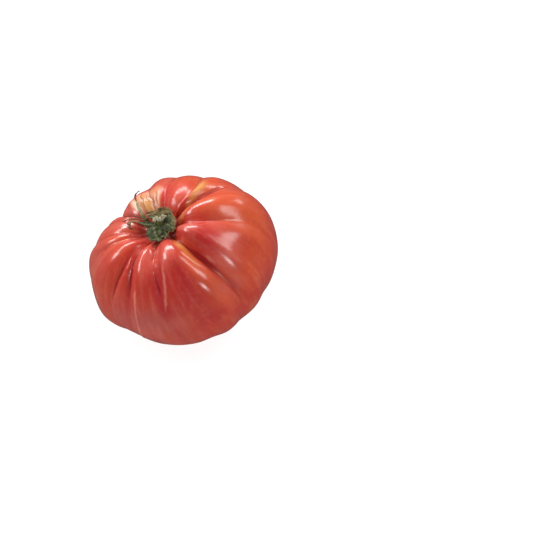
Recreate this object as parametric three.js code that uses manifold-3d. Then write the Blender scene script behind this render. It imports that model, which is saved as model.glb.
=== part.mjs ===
// A ribbed pink tomato, as picked, with its calyx and the stub of its stem.
// Units are millimetres and +Z is up. The fruit is laid out upright about its stem axis, with its
// widest ring at height 0, and is then leaned over towards -X onto a small flat spot.
import * as THREE from 'three';
import { mergeVertices } from 'three/addons/utils/BufferGeometryUtils.js';
import Module from 'manifold-3d';

const wasm = await Module();
wasm.setup();

const { degToRad, radToDeg, lerp, smoothstep } = THREE.MathUtils;

// The outside of the fruit from the floor of the stem cavity to the blossom end: radius, height
const FRUIT_PROFILE = [
  [0, 27.2], [6.5, 27.3], [10.5, 29], [13.6, 32.4], [18.5, 35.3], [26, 35.5], [35, 32.3], [44, 25],
  [51, 15], [55, 0], [53.5, -10], [48, -20.5], [38, -29], [26, -33.4], [15, -35],
  [7, -35.2], [3, -34.2], [0, -33.8],
];
const PROFILE_ROWS = 38;
const COLUMN_ANGLE = 3.3;

// The creases between the ribs, and the rib that follows each: azimuth at the stem and on the side
// in degrees, depth in millimetres, how far down the profile the crease runs as a share of it, and
// how far the rib after it stands out past the round
const CREASES = [
  { atStem: 22, atSide: 37, depth: 5.4, reach: 0.62, rib: -0.8 },
  { atStem: 35, atSide: 65, depth: 3.4, reach: 0.62, rib: -1.6 },
  { atStem: 78, atSide: 85, depth: 2.8, reach: 0.62, rib: 0.2 },
  { atStem: 102, atSide: 107, depth: 2.2, reach: 0.6, rib: -3.8 },
  { atStem: 124, atSide: 125, depth: 2, reach: 0.55, rib: -5.6 },
  { atStem: 145, atSide: 142, depth: 4, reach: 0.68, rib: -2.4 },
  { atStem: 156, atSide: 154, depth: 2.4, reach: 0.6, rib: 0.8 },
  { atStem: 180, atSide: 169, depth: 3, reach: 0.55, rib: 2.7 },
  { atStem: 195, atSide: 186, depth: 2.6, reach: 0.52, rib: 0.8 },
  { atStem: 230, atSide: 221, depth: 5.4, reach: 0.6, rib: -2.6 },
  { atStem: 241, atSide: 239, depth: 3.4, reach: 0.66, rib: -1.4 },
  { atStem: 265, atSide: 268, depth: 6, reach: 0.62, rib: -1.2 },
  { atStem: 311, atSide: 314, depth: 8.6, reach: 0.75, rib: -2 },
  { atStem: 345, atSide: 357, depth: 4.8, reach: 0.56, rib: 1 },
];
const CREASE_WIDTH = 15;
const SWELL_SPAN = [12, 50];
const CREASE_START = [0.04, 0.15];
const CREASE_TURN = [0.12, 0.42];
const CREASE_HOLD = 3;
const CREASE_END = 1.5;

// Rounded hollows along the middle of the two widest ribs: azimuth, depth
const HOLLOWS = [[291, 1.3], [337, 1.1]];
const HOLLOW_WIDTH = 13;
const HOLLOW_START = [0.18, 0.32];
const HOLLOW_END = [0.6, 0.9];

// How the fruit lies: its stem axis leans over, and its underside stays level
const STEM_LEAN = degToRad(24);
const LEAN_SPAN = [-38, 14];
const FLAT_SPOT_DEPTH = 0.5;

// The calyx and the stub on the floor of the stem cavity
const SKIN_GAP = 0.3;
const SEAT_HEIGHT = 27.2;
const DISC_RADIUS = 6.6;
const DISC_THICKNESS = 3.2;
const DISC_SIDES = 30;
const SEPAL_THICKNESS = 0.8;
const SEPAL_STEPS = 11;
const SEPAL_ROOT = 0.16;
const SEPAL_FULLNESS = 0.75;
const SEPAL_TIP = 0.35;
const STUB_RADIUS = 4.1;
const STUB_HEIGHT = 7.2;
const STUB_RIDGES = 5;
const STUB_RIDGE_DEPTH = 0.4;
const STUB_WAIST = 0.5;
const STUB_FLARE = 0.4;
const STUB_COLUMNS = 30;
const STUB_ROWS = 8;
const STUB_TOP_SHIFT = new THREE.Vector2(4.2, 0.5);

// The torn top of the stub: its slant, its teeth and its hollow middle
const TEAR_SLANT = 0.9;
const TEAR_TEETH = 7;
const TOOTH_HEIGHT = 0.5;
const TEAR_START = 0.6;
const TEAR_HOLLOW = 1.6;

// Sepals as they grow round the disc, each a path of points in the upright frame, measured from
// the middle of the cavity floor, with its greatest half width, its fold along the midrib and its
// turn about its own length in degrees. They are two broad ones over the front and one beside
// them, one curled up on the right, two against the back, and three narrow ones to the left.
const SEPALS = [
  {
    half: 4.8, fold: 0.16, turn: 0,
    path: [[0, -3.8, 3], [-0.6, -7, 5.2], [-1.4, -9.8, 4.6], [-2, -11.6, 2.6]],
  },
  {
    half: 2.8, fold: 0.2, turn: 0,
    path: [[-3, -2.6, 3], [-5.4, -4.4, 4.6], [-7.4, -6, 4.4], [-9, -7.4, 3.6]],
  },
  {
    half: 3.9, fold: 0.25, turn: 0,
    path: [[3, -2.6, 3], [5.8, -4.4, 4.8], [8.2, -6.2, 5.2], [10, -7.6, 4]],
  },
  {
    half: 2.7, fold: 0.3, turn: 0,
    path: [[4, 0, 2.8], [8, -0.6, 3.8], [11.2, -1.2, 6.6], [11.8, -1.2, 9.6], [9.6, -0.8, 11.2]],
  },
  {
    half: 2.2, fold: 0.35, turn: 0,
    path: [[2.6, 4.2, 2.8], [4.6, 7, 5.6], [6.8, 6.8, 8.6], [9.2, 4, 10.2]],
  },
  {
    half: 2.4, fold: 0.35, turn: 0,
    path: [[-1, 4.6, 2.8], [-1.8, 7.6, 5.6], [-4.4, 8.8, 8.4], [-8, 8, 9.6]],
  },
  {
    half: 1.7, fold: 0.5, turn: 35,
    path: [[-4, 3, 2.6], [-9.4, 8, 6.2], [-11, 13, 9.8], [-11.6, 17.4, 12.8], [-11.6, 22, 16]],
  },
  {
    half: 2.2, fold: 0.4, turn: 10,
    path: [[-4.4, 2, 2.6], [-9, 4.6, 6], [-14, 7.4, 9.2], [-18.4, 10.4, 10.6]],
  },
  {
    half: 1.5, fold: 0.4, turn: 0,
    path: [[-4.6, -1, 2.6], [-9.6, 0.8, 6.4], [-14.6, 2.4, 9.4], [-18.2, 1.8, 10.6], [-17.6, -1.6, 11.4]],
  },
];

const SKIN = { color: 0xc4503c, roughness: 0.32, metalness: 0 };
const GREEN = { color: 0x4e5a34, roughness: 0.8, metalness: 0 };
const STALK = { color: 0x6d7a4a, roughness: 0.85, metalness: 0 };

// Closes a stack of rings, each with as many points, between a first and a last point
function closedSkin(firstPoint, rings, lastPoint) {
  const columns = rings[0].length;
  const points = [firstPoint, ...rings.flat(), lastPoint];
  const index = [];
  for (let c = 0; c < columns; c++) {
    const next = (c + 1) % columns;
    index.push(0, 1 + c, 1 + next);
    for (let r = 0; r + 1 < rings.length; r++) {
      const upper = 1 + r * columns;
      const lower = upper + columns;
      index.push(upper + c, lower + c, lower + next, upper + c, lower + next, upper + next);
    }
    const lastRing = 1 + (rings.length - 1) * columns;
    index.push(lastRing + c, points.length - 1, lastRing + next);
  }
  const geometry = new THREE.BufferGeometry().setFromPoints(points);
  geometry.setIndex(index);
  return geometry;
}

function toSolid(geometry) {
  const bare = geometry.clone();
  bare.deleteAttribute('normal');
  bare.deleteAttribute('uv');
  const merged = mergeVertices(bare, 1e-4);
  return new wasm.Manifold(new wasm.Mesh({
    numProp: 3,
    vertProperties: new Float32Array(merged.attributes.position.array),
    triVerts: new Uint32Array(merged.index.array),
  }));
}

function toGeometry(solid) {
  const mesh = solid.getMesh();
  const geometry = new THREE.BufferGeometry();
  geometry.setAttribute('position', new THREE.BufferAttribute(mesh.vertProperties, 3));
  geometry.setIndex(new THREE.BufferAttribute(mesh.triVerts, 1));
  return geometry;
}

// The fruit, upright
const profile = new THREE.SplineCurve(FRUIT_PROFILE.map(([r, h]) => new THREE.Vector2(r, h)));

function creaseAzimuth(crease, along) {
  return lerp(crease.atStem, crease.atSide, smoothstep(along, ...CREASE_TURN));
}

// A crease opens on the wall of the stem cavity and fades out towards its reach. Angles from it
// are in degrees, and a rib that is narrower than two crease widths is round from side to side.
function creaseCut(crease, along, angle, ribWidth, radius) {
  const fade = Math.max(0, 1 - (along / crease.reach) ** CREASE_HOLD) ** CREASE_END;
  const depth = crease.depth * smoothstep(along, ...CREASE_START) * fade;
  const halfRib = Math.min(radToDeg(CREASE_WIDTH / radius), ribWidth / 2);
  return depth * Math.max(0, 1 - angle / halfRib) ** 2;
}

// Ribs stand out by different amounts, and pass smoothly from the middle of one to the next
function ribSwell(index, share, radius) {
  const toward = share < 0.5 ? -1 : 1;
  const own = CREASES[index].rib;
  const neighbour = CREASES.at((index + toward) % CREASES.length).rib;
  const blend = (1 - Math.cos(Math.PI * Math.abs(share - 0.5))) / 2;
  return lerp(own, neighbour, blend) * smoothstep(radius, ...SWELL_SPAN);
}

function hollowCut(azimuth, along) {
  const fade = smoothstep(along, ...HOLLOW_START) * (1 - smoothstep(along, ...HOLLOW_END));
  let cut = 0;
  for (const [middle, depth] of HOLLOWS) {
    const angle = Math.abs(azimuth - middle);
    if (angle < HOLLOW_WIDTH) cut += depth * fade * Math.cos(angle / HOLLOW_WIDTH * Math.PI / 2) ** 2;
  }
  return cut;
}

// One ring of skin points, rib by rib, so that every crease lies along a column of points
function fruitRing(along, swell) {
  const middle = profile.getPointAt(along);
  const tangent = profile.getTangentAt(along);
  const outward = new THREE.Vector2(-tangent.y, tangent.x);
  const ring = [];
  CREASES.forEach((crease, i) => {
    const nextCrease = CREASES[(i + 1) % CREASES.length];
    const turn = i + 1 === CREASES.length ? 360 : 0;
    const start = creaseAzimuth(crease, along);
    const width = creaseAzimuth(nextCrease, along) + turn - start;
    const columns = 2 * Math.round((nextCrease.atSide + turn - crease.atSide) / COLUMN_ANGLE / 2);
    for (let c = 0; c < columns; c++) {
      const angle = width * c / columns;
      const cut = creaseCut(crease, along, angle, width, middle.x)
        + creaseCut(nextCrease, along, width - angle, width, middle.x)
        + hollowCut((start + angle) % 360, along) - ribSwell(i, c / columns, middle.x) - swell;
      const azimuth = degToRad(start + angle);
      const radius = middle.x - outward.x * cut;
      const height = middle.y - outward.y * cut;
      ring.push(new THREE.Vector3(radius * Math.cos(azimuth), radius * Math.sin(azimuth), height));
    }
  });
  return ring;
}

function uprightFruit(swell) {
  const rings = [];
  for (let row = 1; row < PROFILE_ROWS; row++) rings.push(fruitRing(row / PROFILE_ROWS, swell));
  const floor = FRUIT_PROFILE[0][1];
  const blossomEnd = FRUIT_PROFILE.at(-1)[1];
  const top = new THREE.Vector3(0, 0, floor + swell);
  const bottom = new THREE.Vector3(0, 0, blossomEnd - swell);
  return closedSkin(top, rings, bottom);
}

// The part above the widest ring leans as one piece, and the lean dies away towards the underside
function leanOver(geometry) {
  const place = geometry.attributes.position;
  for (let i = 0; i < place.count; i++) {
    const x = place.getX(i);
    const z = place.getZ(i);
    const lean = STEM_LEAN * smoothstep(z, ...LEAN_SPAN);
    place.setX(i, x * Math.cos(lean) - z * Math.sin(lean));
    place.setZ(i, x * Math.sin(lean) + z * Math.cos(lean));
  }
}

// The underside is pressed level where the fruit rests
function flattenBase(geometry) {
  geometry.computeBoundingBox();
  const level = geometry.boundingBox.min.z + FLAT_SPOT_DEPTH;
  const place = geometry.attributes.position;
  for (let i = 0; i < place.count; i++) place.setZ(i, Math.max(place.getZ(i), level));
}

function fruitGeometry() {
  const geometry = uprightFruit(0);
  leanOver(geometry);
  flattenBase(geometry);
  return geometry;
}

// A sepal is narrow where it leaves the disc, widest at a third of its length, and pointed
function sepalHalfWidth(sepal, along) {
  const taper = Math.sin(Math.PI * lerp(SEPAL_ROOT, 1, along) ** SEPAL_FULLNESS);
  return sepal.half * Math.max(taper, 0) + SEPAL_TIP;
}

function sepalGeometry(sepal) {
  const path = new THREE.CatmullRomCurve3(
    sepal.path.map(([x, y, z]) => new THREE.Vector3(x, y, SEAT_HEIGHT + z)),
  );
  const across = [-1, -0.5, 0, 0.5, 1];
  const rings = [];
  for (let step = 0; step <= SEPAL_STEPS; step++) {
    const along = step / SEPAL_STEPS;
    const centre = path.getPointAt(along);
    const tangent = path.getTangentAt(along);
    const side = new THREE.Vector3(-centre.y, centre.x, 0).normalize();
    side.addScaledVector(tangent, -side.dot(tangent)).normalize();
    side.applyAxisAngle(tangent, degToRad(sepal.turn));
    const face = new THREE.Vector3().crossVectors(tangent, side);
    const half = sepalHalfWidth(sepal, along);
    const pointAt = (s, lift) => centre.clone()
      .addScaledVector(side, s * half)
      .addScaledVector(face, Math.abs(s) * half * sepal.fold + lift);
    const upper = across.map((s) => pointAt(s, SEPAL_THICKNESS / 2));
    const lower = across.map((s) => pointAt(s, -SEPAL_THICKNESS / 2)).reverse();
    rings.push([...upper, ...lower]);
  }
  return closedSkin(path.getPointAt(0), rings, path.getPointAt(1));
}

function discGeometry() {
  const half = DISC_THICKNESS / 2;
  const outline = [
    [0, -half], [0.8 * DISC_RADIUS, -half], [DISC_RADIUS, 0], [0.9 * DISC_RADIUS, 0.8 * half], [0, half],
  ];
  const disc = new THREE.LatheGeometry(outline.map(([r, h]) => new THREE.Vector2(r, h)), DISC_SIDES);
  disc.rotateX(Math.PI / 2);
  disc.translate(0, 0, SEAT_HEIGHT + SKIN_GAP + half);
  return disc;
}

function calyxGeometry(stub) {
  let calyx = toSolid(discGeometry());
  for (const sepal of SEPALS) calyx = calyx.add(toSolid(sepalGeometry(sepal)));
  return toGeometry(calyx.subtract(toSolid(uprightFruit(SKIN_GAP))).subtract(toSolid(stub)));
}

// The stub is ridged and a little waisted, bends upright, and is torn off with a ragged hollow top
function stubPoint(azimuth, along, bottom, swell) {
  const ridge = STUB_RIDGE_DEPTH * Math.cos(STUB_RIDGES * azimuth);
  const waist = STUB_FLARE * along - STUB_WAIST * Math.sin(Math.PI * along);
  const teeth = TEAR_SLANT * Math.cos(azimuth - 1) + TOOTH_HEIGHT * Math.cos(TEAR_TEETH * azimuth);
  const radius = STUB_RADIUS + ridge + waist + swell;
  return new THREE.Vector3(
    radius * Math.cos(azimuth) + STUB_TOP_SHIFT.x * along ** 2,
    radius * Math.sin(azimuth) + STUB_TOP_SHIFT.y * along ** 2,
    bottom + along * (STUB_HEIGHT + 2 * swell) + teeth * smoothstep(along, TEAR_START, 1),
  );
}

function stubGeometry(swell) {
  const bottom = SEAT_HEIGHT + DISC_THICKNESS + 2 * SKIN_GAP - swell;
  const rings = [];
  for (let row = 0; row <= STUB_ROWS; row++) {
    const ring = [];
    for (let c = 0; c < STUB_COLUMNS; c++) {
      ring.push(stubPoint(-2 * Math.PI * c / STUB_COLUMNS, row / STUB_ROWS, bottom, swell));
    }
    rings.push(ring);
  }
  const foot = new THREE.Vector3(0, 0, bottom);
  const hollowHeight = bottom + STUB_HEIGHT - TEAR_HOLLOW + swell;
  const hollow = new THREE.Vector3(STUB_TOP_SHIFT.x, STUB_TOP_SHIFT.y, hollowHeight);
  return closedSkin(foot, rings, hollow);
}

function namedMesh(name, geometry, finish) {
  geometry.computeVertexNormals();
  const mesh = new THREE.Mesh(geometry, new THREE.MeshStandardMaterial(finish));
  mesh.name = name;
  return mesh;
}

const fruit = namedMesh('fruit', fruitGeometry(), SKIN);
const stemStub = namedMesh('stem_stub', stubGeometry(0), STALK);
const calyx = namedMesh('calyx', calyxGeometry(stubGeometry(SKIN_GAP)), GREEN);

const crown = new THREE.Group();
crown.rotation.y = -STEM_LEAN;
crown.add(calyx, stemStub);

// The origin is under the middle of the whole tomato, on the flat spot that it rests on
const tomato = new THREE.Group();
tomato.add(fruit, crown);
const box = new THREE.Box3().setFromObject(tomato, true);
const middle = box.getCenter(new THREE.Vector3());
tomato.position.set(-middle.x, -middle.y, -box.min.z);

export default tomato;
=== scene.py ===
# %% [markdown]
# A ribbed pink tomato, finished in Blender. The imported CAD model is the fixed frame: the ribbed
# fruit, its calyx and the torn stub of its stem are already at their real size and place. Each
# step below gives one of them the fine shape and the finish of the real one.

import math
import random

import bmesh
import bpy
import numpy as np
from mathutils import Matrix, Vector
from mathutils.bvhtree import BVHTree
from mathutils.noise import noise as noise_at


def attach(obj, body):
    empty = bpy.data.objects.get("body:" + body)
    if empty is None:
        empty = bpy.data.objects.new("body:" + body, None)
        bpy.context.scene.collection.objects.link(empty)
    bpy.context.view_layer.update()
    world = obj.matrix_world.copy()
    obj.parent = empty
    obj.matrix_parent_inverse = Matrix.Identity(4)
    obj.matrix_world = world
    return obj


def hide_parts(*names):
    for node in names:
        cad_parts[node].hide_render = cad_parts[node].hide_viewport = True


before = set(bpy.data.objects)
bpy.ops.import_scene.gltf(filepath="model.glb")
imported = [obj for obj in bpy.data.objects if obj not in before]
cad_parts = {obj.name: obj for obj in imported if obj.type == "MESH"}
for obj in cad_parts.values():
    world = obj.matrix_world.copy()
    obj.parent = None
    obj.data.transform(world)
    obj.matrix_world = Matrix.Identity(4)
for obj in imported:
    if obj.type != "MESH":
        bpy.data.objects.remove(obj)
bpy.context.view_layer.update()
MM = 0.001

# %% [markdown]
# The camera comes first, because every later choice is judged through it. The tomato is seen
# from above its front side, about 50 degrees up, from far enough away that the view is nearly
# free of perspective. The frame is wider than the fruit, which lies left of its middle.

# %% Camera
LOOK_DOWN = math.radians(50)
CAMERA_DISTANCE = 0.9
FRAME_WIDTH = 315.8 * MM
FRUIT_CENTRE = Vector((0.378, -0.935, 34.771)) * MM
FRAME_RIGHT_OF_FRUIT = 53.6 * MM
FRAME_BELOW_FRUIT = 10.3 * MM

view_right = Vector((1, 0, 0))
view_up = Vector((0, math.sin(LOOK_DOWN), math.cos(LOOK_DOWN)))
to_camera = Vector((0, -math.cos(LOOK_DOWN), math.sin(LOOK_DOWN)))
aim = FRUIT_CENTRE + view_right * FRAME_RIGHT_OF_FRUIT - view_up * FRAME_BELOW_FRUIT

camera_data = bpy.data.cameras.new("camera")
camera_data.sensor_fit = "HORIZONTAL"
camera_data.angle = 2 * math.atan(FRAME_WIDTH / 2 / CAMERA_DISTANCE)
camera = bpy.data.objects.new("camera", camera_data)
camera.location = aim + to_camera * CAMERA_DISTANCE
camera.rotation_euler = (math.pi / 2 - LOOK_DOWN, 0, 0)
bpy.context.collection.objects.link(camera)
bpy.context.scene.camera = camera
print("camera", [round(v, 3) for v in camera.location], "lens", round(camera_data.lens, 1))

# %% [markdown]
# Helpers for modelling. An operator works on all that is selected, so every step starts from an
# empty selection with one active object.


# %% Helpers for modelling
def pick(obj):
    """Makes obj the only selected object, and the active one."""
    bpy.ops.object.select_all(action="DESELECT")
    obj.select_set(True)
    bpy.context.view_layer.objects.active = obj


def finish_modifier(obj, kind, **settings):
    """Adds one modifier with its settings and applies it."""
    pick(obj)
    modifier = obj.modifiers.new(kind.lower(), kind)
    for name, value in settings.items():
        setattr(modifier, name, value)
    bpy.ops.object.modifier_apply(modifier=modifier.name)


def points_of(obj, what="co"):
    """The places of a mesh's vertices, or their normals, as an array with one row each."""
    flat = np.empty(len(obj.data.vertices) * 3)
    obj.data.vertices.foreach_get(what, flat)
    return flat.reshape(-1, 3)


def move_points(obj, places):
    """Gives a mesh's vertices their new places."""
    obj.data.vertices.foreach_set("co", places.ravel())
    obj.data.update()


def push_in(obj, depths):
    """Moves each point of a mesh inwards along its normal, by its own depth."""
    move_points(obj, points_of(obj) - points_of(obj, "normal") * depths[:, None])


def triangle_count(obj):
    """How many triangles a mesh has."""
    return sum(len(face.vertices) - 2 for face in obj.data.polygons)


# %% [markdown]
# The skin of the fruit. The CAD solid has the ribs and creases, in flat triangles that lie in
# rings round the stem. A copy of it is joined into one surface, and the diagonal of every pair of
# triangles is dissolved, which leaves an even net of quads: on a glossy skin, every uneven spot in
# the net would show as a broken highlight.

# %% Fruit: a smooth copy of the ribbed solid
MERGE_DISTANCE = 0.01 * MM

pick(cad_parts["fruit"])
bpy.ops.object.duplicate()
skin = bpy.context.active_object
skin.name = "tomato_skin"
bpy.ops.object.mode_set(mode="EDIT")
bpy.ops.mesh.select_all(action="SELECT")
bpy.ops.mesh.remove_doubles(threshold=MERGE_DISTANCE)
bpy.ops.object.mode_set(mode="OBJECT")


def linked(vert):
    """The vertices that share an edge with a vertex."""
    return {edge.other_vert(vert) for edge in vert.link_edges}


surface = bmesh.new()
surface.from_mesh(skin.data)
poles = sorted(surface.verts, key=lambda vert: len(vert.link_edges))[-2:]
top = max(poles, key=lambda vert: vert.co.z)
ring = sorted(linked(top), key=lambda vert: math.atan2(vert.co.y - top.co.y, vert.co.x - top.co.x))
above, diagonals, rings = {top}, [], 1
while True:
    below = [linked(vert) - above - set(ring) for vert in ring]
    if len(below[0]) < 2:
        break
    shared = [(here & below[(i + 1) % len(ring)]).pop() for i, here in enumerate(below)]
    diagonals += [surface.edges.get(pair) for pair in zip(ring, shared)]
    above, rings = set(ring), rings + 1
    ring = [shared[i - 1] for i in range(len(ring))]
bmesh.ops.dissolve_edges(surface, edges=diagonals, use_verts=False)
surface.to_mesh(skin.data)
surface.free()
print("rings:", rings, "columns:", len(ring), "faces now:", len(skin.data.polygons))

# %% [markdown]
# Places on the fruit are named the way a grower would: how far round the stem, and how far down
# from it. The stem leans 24 degrees to the left, so both are measured in a frame that leans too.

# %% Round and down: where each point of the skin is
STEM_LEAN = math.radians(24)
GIRTH_RADIUS = 55 * MM
CROWN_HEIGHT = 36 * MM


def turned(places, angle):
    """Turns places about the Y axis."""
    x, y, z = places.T
    cos, sin = math.cos(angle), math.sin(angle)
    return np.stack([x * cos - z * sin, y, x * sin + z * cos], axis=1)


def upright(places):
    """Turns places on the leaned fruit into the frame of its stem."""
    return turned(places - np.array(FRUIT_CENTRE), -STEM_LEAN)


def leaned(places):
    """Turns places in the frame of the stem into places on the leaned fruit."""
    return turned(places, STEM_LEAN) + np.array(FRUIT_CENTRE)


def round_and_down(places):
    """Degrees round the stem, and degrees down from it on the fruit's rounded form."""
    x, y, z = upright(places).T
    around = np.degrees(np.arctan2(y, x)) % 360
    down = np.degrees(np.arctan2(np.hypot(x, y) / GIRTH_RADIUS, z / CROWN_HEIGHT))
    return around, down


def apart(around, middle):
    """Signed degrees from a middle azimuth, the short way round."""
    return (around - middle + 180) % 360 - 180


def fade(value, start, end):
    """Goes smoothly from 0 at start to 1 at end."""
    share = np.clip((value - start) / (end - start), 0, 1)
    return share * share * (3 - 2 * share)


# %% [markdown]
# Two levels of subdivision round the ribs. They would round the creases too, so the edges along
# the bottom of every sharp valley are marked first to stay tight. Those are the edges that bend
# inwards and run down the fruit. How sharp each one is stays on the mesh as a number, because
# later steps pinch, colour and dull the creases by it.

# %% Fruit: tight creases, then round ribs
CREASE_ANGLE = math.radians(20)
FULL_CREASE_ANGLE = math.radians(80)
CREASE_TIGHTNESS = 0.7
CREASES_END = 115


def keep_on_points(obj, name, values):
    """Stores one number per point as a named attribute."""
    layer = obj.data.attributes.new(name, "FLOAT", "POINT")
    layer.data.foreach_set("value", np.asarray(values, dtype=float))


around, down = round_and_down(points_of(skin))
on_fold = np.zeros(len(down))
surface = bmesh.new()
surface.from_mesh(skin.data)
surface.edges.ensure_lookup_table()
for edge in skin.data.edges:
    first, second = edge.vertices
    sideways = abs(apart(around[first], around[second])) * math.sin(math.radians(down[first]))
    bend = surface.edges[edge.index].calc_face_angle()
    edge.select = bool(bend > CREASE_ANGLE and not surface.edges[edge.index].is_convex
                       and sideways < abs(down[first] - down[second]) and down[first] < CREASES_END)
    if edge.select:
        for end in (first, second):
            on_fold[end] = max(on_fold[end], float(fade(bend, CREASE_ANGLE, FULL_CREASE_ANGLE)))
surface.free()
keep_on_points(skin, "fold_line", on_fold)
print("points at the bottom of a valley:", int((on_fold > 0).sum()))
pick(skin)
bpy.ops.object.mode_set(mode="EDIT")
bpy.ops.mesh.select_mode(type="EDGE")
bpy.ops.transform.edge_crease(value=CREASE_TIGHTNESS)
bpy.ops.mesh.select_mode(type="VERT")
bpy.ops.object.mode_set(mode="OBJECT")
finish_modifier(skin, "SUBSURF", levels=2, render_levels=2)

# %% [markdown]
# The ribs are then smoothed, the creases less so, and the bottom of each crease is pinched in.
# Three creases on the front of the real fruit are much deeper than the rest in their upper part,
# so they get some extra depth, which fades out further down.

# %% Fruit: smooth ribs between pinched creases
RIB_SMOOTHING = 24
FOLD_HOLD = 0.55
FOLD_PINCH = 0.6 * MM
PINCH_START = (24, 42)
# Each deep fold: round (degrees), half width round, extra depth (mm)
DEEP_FOLDS = [(313, 7, 1.5), (235, 7, 0.8), (275, 6, 0.7)]
DEEP_FOLD_END = (65, 95)


def weigh(obj, name, weights):
    """Makes a vertex group from one weight per point."""
    group = obj.vertex_groups.new(name=name)
    for index, weight in enumerate(weights):
        if weight > 0:
            group.add([index], float(weight), "REPLACE")


def smooth_where(obj, name, weights, iterations):
    """Smooths a mesh at each point by as much as its weight says."""
    weigh(obj, name, weights)
    finish_modifier(obj, "SMOOTH", factor=0.5, iterations=iterations, vertex_group=name)


fold_line = np.empty(len(skin.data.vertices))
skin.data.attributes["fold_line"].data.foreach_get("value", fold_line)
smooth_where(skin, "away_from_folds", 1 - FOLD_HOLD * fold_line, RIB_SMOOTHING)
around, down = round_and_down(points_of(skin))
pinch = FOLD_PINCH * fold_line ** 3
for middle, half_round, extra in DEEP_FOLDS:
    pinch += (extra * MM * np.exp(-(apart(around, middle) / half_round) ** 2)
              * fold_line ** 1.5 * (1 - fade(down, *DEEP_FOLD_END)))
pinch *= fade(down, *PINCH_START)
push_in(skin, pinch)
print("skin:", len(skin.data.vertices), "points,", triangle_count(skin), "triangles,",
      int((fold_line > 0.5).sum()), "points on a crease")

# %% [markdown]
# The ribs of a ripe fruit are broad and taut, and only the creases between them are narrow. A second
# copy of the skin is smoothed until its ribs are flat. Wherever the real skin stands out further
# than that copy, it is let down towards it, so that crests get broad and valleys stay as they are.

# %% Fruit: broad crests
CREST_SMOOTHING = 180
CREST_SHARE = 0.8
CREST_BLEND = 0.12 * MM
CRESTS_END = (60, 90)


def above_smoothed(iterations):
    """How far each point of the skin lies outside a smoothed copy of it, in metres."""
    pick(skin)
    bpy.ops.object.duplicate()
    smoothed = bpy.context.active_object
    finish_modifier(smoothed, "SMOOTH", factor=0.5, iterations=iterations)
    height = ((points_of(skin) - points_of(smoothed)) * points_of(skin, "normal")).sum(axis=1)
    bpy.data.objects.remove(smoothed)
    return height


height = above_smoothed(CREST_SMOOTHING)
_, down = round_and_down(points_of(skin))
only_above = 0.5 * (height + np.hypot(height, CREST_BLEND))
lowered = CREST_SHARE * only_above * (1 - fade(down, *CRESTS_END))
push_in(skin, lowered)
print("crests let down by up to", round(lowered.max() / MM, 2), "mm")

# %% [markdown]
# A grown skin is never even. A procedural cloud pattern pushes it in by a fraction of a
# millimetre, which breaks up the straight edges of the reflections. The push fades out where the
# fruit rests, so that it still touches the floor.

# %% Fruit: the unevenness of a grown skin
SWELLING_SIZE = 16 * MM
SWELLING_DEPTH = 0.7 * MM
RESTING_ZONE = (1 * MM, 9 * MM)


def clouds(name, size):
    """A procedural cloud pattern for a Displace modifier."""
    pattern = bpy.data.textures.new(name, "CLOUDS")
    pattern.noise_scale = size
    pattern.noise_depth = 0
    return pattern


before = points_of(skin)
weigh(skin, "above_the_rest", fade(before[:, 2], *RESTING_ZONE))
finish_modifier(skin, "DISPLACE", texture=clouds("swelling", SWELLING_SIZE), texture_coords="LOCAL",
                strength=SWELLING_DEPTH, mid_level=1, vertex_group="above_the_rest")
around, down = round_and_down(points_of(skin))
pushed = np.linalg.norm(points_of(skin) - before, axis=1)
print("skin pushed in by up to", round(pushed.max() / MM, 2), "mm")

# %% [markdown]
# Besides the big creases between its ribs, the crown has fine folds that run down from the stem,
# thin raised lines along some creases, and a few growth cracks where the skin dried out. Each is a
# line on the fruit, given by where it starts and ends. Some lobes swell out further than others,
# the one with the cracks and the inner ends of the front ones, and each of those is a soft oval
# spot. One valley of the solid is too deep along its whole length and is filled a little.

# %% Fruit: where its folds, ridges, cracks and swollen lobes are
# Each line: round at its top and at its foot, down from and to (degrees), depth, half width (mm)
FINE_FOLDS = [
    (203, 195, 17, 46, 0.35, 1.5), (187, 178, 18, 46, 0.5, 1.5), (252, 252, 46, 88, 0.4, 1.7),
    (233, 231, 44, 88, 0.4, 1.6), (168, 163, 20, 44, 0.4, 1.4), (92, 95, 15, 34, 0.4, 1.3),
    (66, 74, 18, 40, 0.45, 1.5), (350, 2, 20, 52, 0.4, 1.9), (135, 133, 18, 40, 0.4, 1.4),
    (120, 116, 30, 50, 0.3, 1.4),
]
THIN_RIDGES = [
    (248, 241, 46, 102, 0.6, 1.1), (279, 267, 32, 70, 0.5, 1.1), (228, 221, 40, 86, 0.25, 0.8),
    (317, 317, 45, 60, 0.4, 1.2),
]
# Two more lines that are filled up instead, by so many millimetres
FILLED_VALLEY = (268, 262, 28, 72, 1.3, 2.4)
CREASE_END = (267, 267, 52, 76, 0.6, 3)
GROWTH_CRACKS = [
    (116, 112, 18, 32, 0.35, 0.5), (99, 105, 15, 32, 0.45, 0.55), (91, 95, 16, 27, 0.25, 0.4),
    (106, 108, 18, 29, 0.25, 0.4), (96, 100, 16, 26, 0.2, 0.3), (120, 124, 20, 30, 0.2, 0.35),
]
# Each swollen lobe: round and down (degrees), its half lengths round and down, swelling (mm)
SWOLLEN_LOBES = [
    (124, 30, 13, 12, 2.6), (295, 27, 14, 9, 2.0), (262, 38, 8, 9, 0.9), (330, 25, 12, 8, 1.7),
    (213, 27, 9, 12, 0.6),
]
TOP_FADE = (-3, 4)
FOOT_FADE = (-8, 3)
WANDER_RATE = 0.9


def oval(around, down, spot):
    """How much each point belongs to a soft oval spot: 1 in its middle, 0 away from it."""
    middle_round, middle_down, half_round, half_down = spot[:4]
    gap = (apart(around, middle_round) / half_round) ** 2 + ((down - middle_down) / half_down) ** 2
    return np.exp(-gap)


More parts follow.
